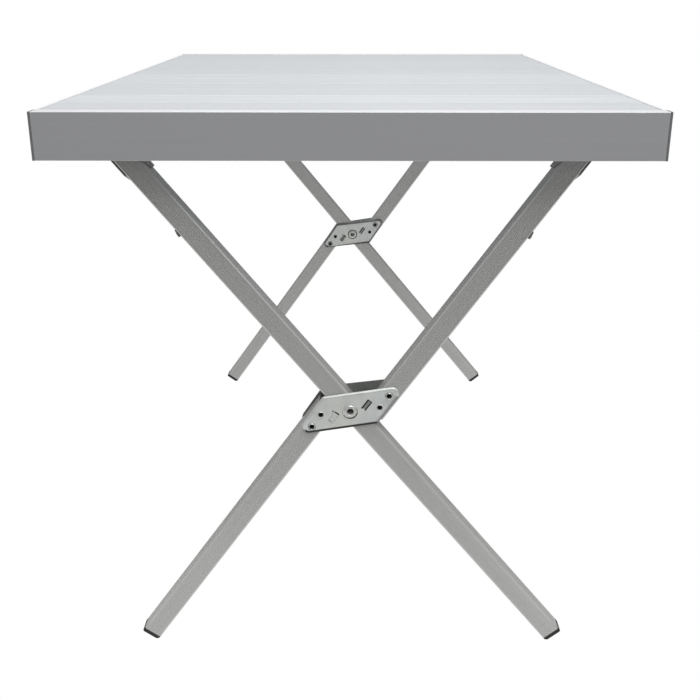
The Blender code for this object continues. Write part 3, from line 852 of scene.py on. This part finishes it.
def build_barrel(node, matrix, bore, material):
    """The sliding barrel: turned drum with grooves and trunnions, bored for the rod."""
    low, high = local_box(node, matrix)
    middle = (low + high) / 2
    reach = (high.z - low.z) / 2
    pin, drum, half = TRUNNION_RADIUS, 0.010, 0.0107
    edge, groove, flare, ring = 0.0006, 0.0005, 0.0003, 0.0054
    side = [
        (0, reach), (pin - edge, reach), (pin, reach - edge), (pin, half), (drum - edge, half),
        (drum, half - edge), (drum, ring + 4 * flare), (drum - groove, ring + 3 * flare),
        (drum - groove, ring + flare), (drum, ring)]
    profile = side + [(r, -z) for r, z in reversed(side)]
    item = make(node, turned(profile, "Z"), material)
    cutter = turned(((0, -AWAY), (bore, -AWAY), (bore, AWAY), (0, AWAY)), "X")
    combine(item, [cutter], "DIFFERENCE")
    smooth(item, 38.0)
    return settle(item, Matrix.Translation(matrix @ middle), node)


# ---------------- bracket
def plate_rings(outline, depths):
    """Rings of an outline moved in by (inset, height) pairs, and the outline's normals."""
    count = len(outline)
    normals = []
    for i in range(count):
        a, b = Vector(outline[i - 1][:2]), Vector(outline[(i + 1) % count][:2])
        run = (b - a).normalized()
        normals.append(Vector((run.y, -run.x)))
    centre = sum((Vector(p[:2]) for p in outline), Vector((0, 0))) / count
    if normals[0].dot(Vector(outline[0][:2]) - centre) < 0:
        normals = [-n for n in normals]
    rings = []
    for inset, height in depths:
        rings.append([
            (p[0] - n.x * inset, p[1] - n.y * inset, height)
            for p, n in zip(outline, normals)])
    return rings, normals


def build_plate(node, matrix, outward, corners, shade, rivets, material):
    """A pressed bracket plate: rolled rim, rivet bosses, eyelet boss, lanced tabs.

    Its rolled rim is darkened by painted shade where it leans down and along its rolled band, and
    its back by painted shade as dark as the shade given.
    """
    low, high = local_box(node, matrix)
    back, front = (low.z, high.z) if outward > 0 else (high.z, low.z)
    wall = abs(front - back) + PLATE_RAISE
    outline = [(u, n) for n, u, _ in rounded(corners, PLATE_RADII, 8)]
    roll = PLATE_ROLL
    depths = [(0.0, 0.0), (0.0, wall - roll)]
    for angle in (0.3, 0.6, 0.9, 1.2, pi / 2):
        depths.append((roll - roll * cos(angle), wall - roll + roll * sin(angle)))
    depths += [(roll + 0.0008, wall), (roll + 0.0016, wall)]
    rings, normals = plate_rings(outline, depths)
    down = matrix.to_3x3().inverted() @ Vector((0, 0, -1))
    bm = bmesh.new()
    layer = bm.verts.layers.float.new("painted_shade")
    levels = []
    for number, ring in enumerate(rings):
        level = []
        for (u, n, h), normal in zip(ring, normals):
            vert = bm.verts.new((u, n, back + outward * h))
            # painted shade: the rolled rim darkens where it leans down and along its rolled band,
            # as if in shadow; the shade given darkens the back
            lean = normal.x * down.x + normal.y * down.y
            edge = 0.5 if 0 < number < 5 else 0.0
            vert[layer] = min(1.0, max(0.0, 3.6 * lean - 1.6 + edge, shade))
            if number == len(rings) - 1:
                vert[layer] = 0.0
            level.append(vert)
        levels.append(level)
    bm.faces.new(levels[0])
    bm.faces.new(reversed(levels[-1]))
    for first, second in zip(levels, levels[1:]):
        bridge(bm, first, second)
    item = make(node, bm, material)
    bosses = [dome(0.0, 0.0, back, outward, wall, 0.0110, 0.0008)]
    holes = []
    for u, n in rivets:
        if Vector((u, n)).length > BOSSED:
            bosses.append(dome(u, n, back, outward, wall, 0.0058, 0.0007))
        holes.append(pin_cutter(u, n, 0.0036))
    holes.append(pin_cutter(0.0, 0.0, 0.0053))
    combine(item, bosses, "UNION")
    pockets, tabs = lanced_tabs(back, outward, wall)
    combine(item, holes + pockets, "DIFFERENCE")
    combine(item, tabs, "UNION")
    darken(item, back, outward, shade)
    smooth(item, 40.0)
    return settle(item, matrix, node)


def dome(u, n, back, outward, wall, radius, rise):
    """A low pressed ring round a hole, joined to the plate's face."""
    sink = 0.0003
    profile = [(0.0, wall - sink), (radius, wall - sink)]
    profile += [
        (radius * (1 - 0.35 * k / 5), wall - sink + (rise + sink) * sin(pi * k / 10))
        for k in range(1, 6)]
    profile.append((0.0, wall + rise))
    bm = turned([(r, back + outward * h) for r, h in profile], "Z", 40)
    return moved(bm, (u, n, 0.0))


def rivet_places(end_name, matrix):
    """Where a bracket's rivets are, in the split leg's frame."""
    return [
        local_middle(f"{end_name}_bracket_rivet_{k}", matrix).xy[:] for k in (1, 2, 3, 4)]


def darken(item, back, outward, shade):
    """Paint shade into the tabs' openings, onto the sunken tab and over the plate's back."""
    for vert, mark in zip(item.data.vertices, item.data.attributes["painted_shade"].data):
        height = (vert.co.z - back) * outward
        along = abs(vert.co.x - TAB_PLACE[0]) / TAB_LENGTH
        beside = abs(vert.co.y - TAB_PLACE[1]) / TAB_WIDTH
        if height < TAB_FLOOR / 2:
            mark.value = shade
        elif height < TAB_FLOOR + 0.0002:
            mark.value = 1.0
        elif along < 0.45 and beside < 0.45:
            mark.value = 0.6


def lanced_tabs(back, outward, wall):
    """Openings and tabs lanced from the plate: one pushed in, one standing out."""
    pockets, tabs = [], []
    half, width = TAB_LENGTH / 2, TAB_WIDTH / 2
    past = wall + 0.004
    corners = ((-half, -width), (half, -width), (half, width), (-half, width))
    outline = rounded(corners, [0.0008] * len(corners), 3)
    u, n = TAB_PLACE
    for sign in (1, -1):
        bm = bmesh.new()
        rings = [
            [bm.verts.new((sign * u + x, sign * n + y, back + outward * height))
             for x, y, _ in outline] for height in (TAB_FLOOR, past)]
        bm.faces.new(rings[0])
        bm.faces.new(reversed(rings[1]))
        bridge(bm, rings[0], rings[1])
        pockets.append(bm)
    dot = turned(((0, TAB_FLOOR), (0.0011, TAB_FLOOR), (0.0011, past), (0, past)), "Z", 20)
    if outward < 0:
        bmesh.ops.scale(dot, vec=Vector((1.0, 1.0, -1.0)), verts=dot.verts)
    pockets.append(moved(dot, (*TAB_HOLE, back)))
    face, sunk = wall - 0.0001, wall - 0.0011
    path = ((face, 0.0), (sunk, 0.2), (sunk, 1.0))
    tabs.append(tab_strip(
        u, n + 0.0004, (-half - 0.0010, half - 0.0012), 0.0016, outward, back, path))
    path = ((face, 0.0), (face, 0.25), (face + 0.0006, 0.7), (face + 0.0010, 1.0))
    tabs.append(tab_strip(
        -u, -n, (half - 0.0020, -half + 0.0010), width - 0.0003, outward, back, path))
    return pockets, tabs


def tab_strip(u, n, ends, half, outward, back, path):
    """A strip of sheet that follows a path of (height, share of its length)."""
    bm = bmesh.new()
    rings = []
    for height, share in path:
        x = u + ends[0] + (ends[1] - ends[0]) * share
        under = height - TAB_SHEET
        rings.append([bm.verts.new((x, n + y, back + outward * h)) for y, h in (
            (-half, under), (half, under), (half, height), (-half, height))])
    bm.faces.new(rings[0])
    bm.faces.new(reversed(rings[-1]))
    for first, second in zip(rings, rings[1:]):
        bridge(bm, first, second)
    return bm


def build_rivet(node, matrix, material):
    """A hollow rivet with rolled rims, its bore darkened by painted shade."""
    low, high = local_box(node, matrix)
    middle = (low + high) / 2
    crown = (high.z - low.z) / 2
    seat = crown - 0.0014
    crown += PLATE_RAISE if middle.xy.length > BOSSED else GAP
    side = [
        (0.0, crown - 0.0062), (0.0028, crown - 0.0060), (0.0031, crown - 0.0016),
        (0.0033, crown - 0.0004), (0.0036, crown), (0.0039, crown - 0.0003),
        (0.0042, crown - 0.0010), (0.0042, seat), (0.0025, seat)]
    profile = side + [(r, -z) for r, z in reversed(side)]
    item = make(node, turned(profile, "Z", 32), material)
    # painted shade inside the bore
    shade_bore(item, 0.0032, crown - 0.0012)
    smooth(item)
    return settle(item, matrix @ Matrix.Translation(middle), node)


def shade_bore(item, radius, height):
    """Paint shade into the inside of a bore."""
    values = []
    for vert in item.data.vertices:
        inside = vert.co.xy.length < radius and abs(vert.co.z) < height
        values.append(1.0 if inside else 0.0)
    item.data.attributes.new("painted_shade", "FLOAT", "POINT").data.foreach_set("value", values)


def build_eyelet(node, matrix, material):
    """The pivot eyelet: a tube with both ends rolled over."""
    low, high = local_box(node, matrix)
    middle = (low + high) / 2
    crown = (high.z - low.z) / 2
    seat = crown - 0.0032
    side = [
        (0.0041, 0.0), (0.0041, crown - 0.0100), (0.0041, crown - 0.0070),
        (0.0041, crown - 0.0012), (0.0044, crown - 0.0004), (0.0050, crown), (0.0062, crown),
        (0.0074, crown - 0.0004), (0.0081, crown - 0.0013), (0.0083, crown - 0.0022),
        (0.0082, seat), (0.0050, seat), (0.0050, 0.0)]
    profile = side + [(r, -z) for r, z in reversed(side[1:-1])]
    item = make(node, turned(profile, "Z", 56, closed=True), material)
    # painted shade inside the bore
    shade_bore(item, 0.0043, crown - 0.0080)
    smooth(item)
    return settle(item, matrix @ Matrix.Translation(middle), node)


def build_fitting_rivet(node, matrix, inward, material):
    """The domed rivet through a fitting's strap."""
    low, high = local_box(node, matrix)
    middle = (low + high) / 2
    half = (high.z - low.z) / 2
    profile = [
        (0.0, -half), (0.0024, -half), (0.0030, -half + 0.0004), (0.0030, -half + 0.0014),
        (0.0020, -half + 0.0014), (0.0020, half - 0.0014), (0.0036, half - 0.0014),
        (0.0033, half - 0.0006), (0.0022, half - 0.0001), (0.0, half)]
    bm = turned([(r, inward * z) for r, z in profile], "Z", 28)
    item = smooth(make(node, bm, material))
    return settle(item, matrix @ Matrix.Translation(middle), node)


# ---------------- leg frames
def head_cutters(kind, matrix, head, play, inward):
    """The rod's slots and the fitting rivet's hole through a leg top."""
    rivet = local_middle(f"{kind}_fitting_rivet", matrix)
    return rod_slots(head.x, head.y, rise_of(matrix), play) + [back_cutter(rivet, inward)]


def build_head(kind, matrix, head, play, outer, inward, looks):
    """A leg top's fitting and its rivet."""
    cutters = head_cutters(kind, matrix, head, play, inward)
    build_fitting(
        f"{kind}_fitting", matrix, head.x, head.y, outer, inward, cutters, looks["fitting"])
    build_fitting_rivet(f"{kind}_fitting_rivet", matrix, inward, looks["rivet"])


def build_leg_frame(end_name, end, looks):
    """All the pieces of one scissor frame."""
    inward = -end
    build_rod(end_name, looks["rod"])
    top = Vector(JOINTS[f"{end_name}_long_turn"]["pos_m"])
    pivot = Vector(JOINTS[f"{end_name}_scissor"]["pos_m"])
    open_top = Vector(JOINTS[f"{end_name}_short_turn"]["pos_m"])
    trunnion_hole = TRUNNION_RADIUS + GAP

    kind = f"{end_name}_long"
    node = kind + "_leg"
    matrix = leg_frame(top, node)
    arm = (matrix.inverted() @ pivot).x
    head = Vector()
    cutters = head_cutters(kind, matrix, head, 0.0, inward)
    cutters += [pin_cutter(0.0, 0.0, trunnion_hole), pin_cutter(arm, 0.0, EYELET_HOLE)]
    build_tube(node, matrix, cutters + [foot_cut(node, matrix)], looks["tube"])
    build_head(kind, matrix, head, 0.0, -1, inward, looks)
    build_cap(kind + "_cap", node, matrix, looks["cap"])
    build_barrel(kind + "_barrel", matrix, ROD_RADIUS + GAP, looks["barrel"])

    kind = f"{end_name}_short"
    node = kind + "_leg_upper"
    matrix = leg_frame(pivot, node)
    head = matrix.inverted() @ open_top
    rivets = rivet_places(end_name, matrix)
    cutters = head_cutters(kind, matrix, head, OPEN_PLAY, inward)
    cutters += [pin_cutter(head.x, head.y, trunnion_hole)]
    cutters += [pin_cutter(u, n, RIVET_HOLE) for u, n in rivets]
    build_tube(node, matrix, cutters, looks["tube"])
    build_head(kind, matrix, head, OPEN_PLAY, 1, inward, looks)
    node = kind + "_leg_lower"
    cutters = [pin_cutter(u, n, RIVET_HOLE) for u, n in rivets]
    build_tube(node, matrix, cutters + [foot_cut(node, matrix)], looks["tube"])
    build_cap(kind + "_cap", node, matrix, looks["cap"])
    build_barrel(kind + "_barrel", matrix, ROD_RADIUS + OPEN_PLAY, looks["barrel"])

    for name, facing, corners, shade in (
            ("outer", end, OUTER_CORNERS, 0.0), ("inner", inward, INNER_CORNERS, BACK_SHADE)):
        plate = f"{end_name}_bracket_plate_{name}"
        build_plate(plate, matrix, facing, corners, shade, rivets, looks["plate"])
    for k in (1, 2, 3, 4):
        build_rivet(f"{end_name}_bracket_rivet_{k}", matrix, looks["rivet"])
    build_eyelet(f"{end_name}_pivot_eyelet", matrix, looks["rivet"])


def rise_of(matrix):
    """How fast a level rod rises along a leg as it crosses it, with its sign."""
    along = matrix.to_3x3() @ Vector((1, 0, 0))
    return along.x / along.z


def local_middle(node, matrix):
    """The middle of a CAD node in a piece's frame."""
    low, high = local_box(node, matrix)
    return (low + high) / 2


def back_cutter(place, inward):
    """A cutter for the fitting rivet's hole, in a tube's back wall only."""
    low, high = sorted((inward * TUBE_HALF / 2, inward * (TUBE_HALF + AWAY)))
    bm = turned(((0, low), (0.0023, low), (0.0023, high), (0, high)), "Z", 28)
    return moved(bm, (place.x, place.y, 0.0))


# ---------------- stage
def build_cove():
    """A plain white cove that only the camera sees, so it adds no light of its own.

    It is white from inside and clear from outside, so the table can be seen from below.
    """
    material = bpy.data.materials.new("studio_cove")
    material.use_nodes = True
    nodes = material.node_tree.nodes
    link = material.node_tree.links.new
    nodes.clear()
    white = nodes.new("ShaderNodeEmission")
    clear = nodes.new("ShaderNodeBsdfTransparent")
    mix = nodes.new("ShaderNodeMixShader")
    output = nodes.new("ShaderNodeOutputMaterial")
    link(nodes.new("ShaderNodeNewGeometry").outputs["Backfacing"], mix.inputs["Fac"])
    link(white.outputs["Emission"], mix.inputs[1])
    link(clear.outputs["BSDF"], mix.inputs[2])
    link(mix.outputs["Shader"], output.inputs["Surface"])
    bend = arc((COVE_SIZE - COVE_BEND, COVE_BEND), COVE_BEND, -pi / 2, 0.0, 8)
    profile = [(0.0, 0.0), *bend, (COVE_SIZE, COVE_SIZE), (0.0, COVE_SIZE)]
    cove = make("cove", turned(profile, "Z", 64), material)
    cove.data.flip_normals()
    for kind in ("diffuse", "glossy", "transmission", "volume_scatter", "shadow"):
        setattr(cove, "visible_" + kind, False)


def build_sky():
    """Soft light from all round, dimmer from below as off a grey floor."""
    world = bpy.data.worlds.new("studio")
    bpy.context.scene.world = world
    world.use_nodes = True
    nodes = world.node_tree.nodes
    link = world.node_tree.links.new
    split = nodes.new("ShaderNodeSeparateXYZ")
    level = nodes.new("ShaderNodeMapRange")
    level.inputs["From Min"].default_value = -0.15
    level.inputs["From Max"].default_value = 0.15
    level.inputs["To Min"].default_value = SKY_BELOW
    level.inputs["To Max"].default_value = SKY_ABOVE
    link(nodes.new("ShaderNodeTexCoord").outputs["Generated"], split.inputs["Vector"])
    link(split.outputs["Z"], level.inputs["Value"])
    link(level.outputs["Result"], nodes["Background"].inputs["Strength"])
    nodes["Background"].inputs["Color"].default_value = (1.0, 1.0, 1.0, 1.0)


def build_stage():
    """The cove, the sky, soft lights and the camera."""
    scene = bpy.context.scene
    scene.view_settings.view_transform = "Standard"
    build_cove()
    build_sky()
    for name, place, width, length, power, aim in SOFTBOXES:
        data = bpy.data.lights.new(name, "AREA")
        data.shape = "RECTANGLE"
        data.size = width
        data.size_y = length
        data.energy = power
        light = bpy.data.objects.new(name, data)
        light.location = place
        light.rotation_euler = (Vector(aim) - Vector(place)).to_track_quat("-Z", "Y").to_euler()
        scene.collection.objects.link(light)

    data = bpy.data.cameras.new("camera")
    data.lens = LENS
    data.sensor_width = 36.0
    camera = bpy.data.objects.new("camera", data)
    camera.location = CAMERA_PLACE
    camera.rotation_euler = [radians(angle) for angle in CAMERA_TURN]
    scene.collection.objects.link(camera)
    scene.camera = camera


def main():
    """Build every piece, then the stage."""
    # the fifth argument lightens rounded edges for wear and as painted highlight; the sixth is
    # the painted highlight on the rails' top faces
    ends = extruded_alloy("end_rail_alloy", (0.53, 0.535, 0.549), 0.42, 0.3, 1.15, PAINTED_TOP_HIGHLIGHT)
    sides = extruded_alloy("side_rail_alloy", (0.53, 0.535, 0.549), 0.42, 0.3, 1.7, PAINTED_TOP_HIGHLIGHT)
    slats = extruded_alloy("slat_alloy", (0.63, 0.65, 0.672), 0.42, 0.3, 1.0)
    tube = extruded_alloy("tube_alloy", (0.56, 0.56, 0.545), 0.38, 0.5, 1.25)
    cast = cast_alloy()
    looks = {
        "tube": tube,
        "plate": zinc_plate("zinc_plate", (0.78, 0.815, 0.80), 0.42, 0.5),
        "rivet": zinc_plate("zinc_rivet", (0.74, 0.77, 0.755), 0.34, 0.6),
        # the fitting's dark base colour is partly its own zinc and partly painted shade, as if
        # under the table top
        "fitting": zinc_plate("zinc_fitting_painted_shade", (0.33, 0.325, 0.31), 0.42, 0.6),
        "rod": zinc_plate("zinc_rod", (0.42, 0.43, 0.43), 0.28, 0.9),
        "cap": moulded_plastic("cap_plastic", (0.012, 0.012, 0.011), 0.5, 0.3),
        "barrel": moulded_plastic("barrel_plastic", (0.03, 0.03, 0.03), 0.45, 0.2),
    }
    build_end_rail("end_rail_near", -1, ends)
    build_end_rail("end_rail_far", 1, ends)
    build_side_rail("side_rail_left", -1, sides)
    build_side_rail("side_rail_right", 1, sides)
    for number in range(1, SLAT_COUNT + 1):
        build_slat(number, slats)
    for end_name, end in (("near", -1), ("far", 1)):
        for side_name, side in (("left", -1), ("right", 1)):
            build_casting(end_name, end, side_name, side, cast)
        build_leg_frame(end_name, end, looks)
    build_stage()


main()
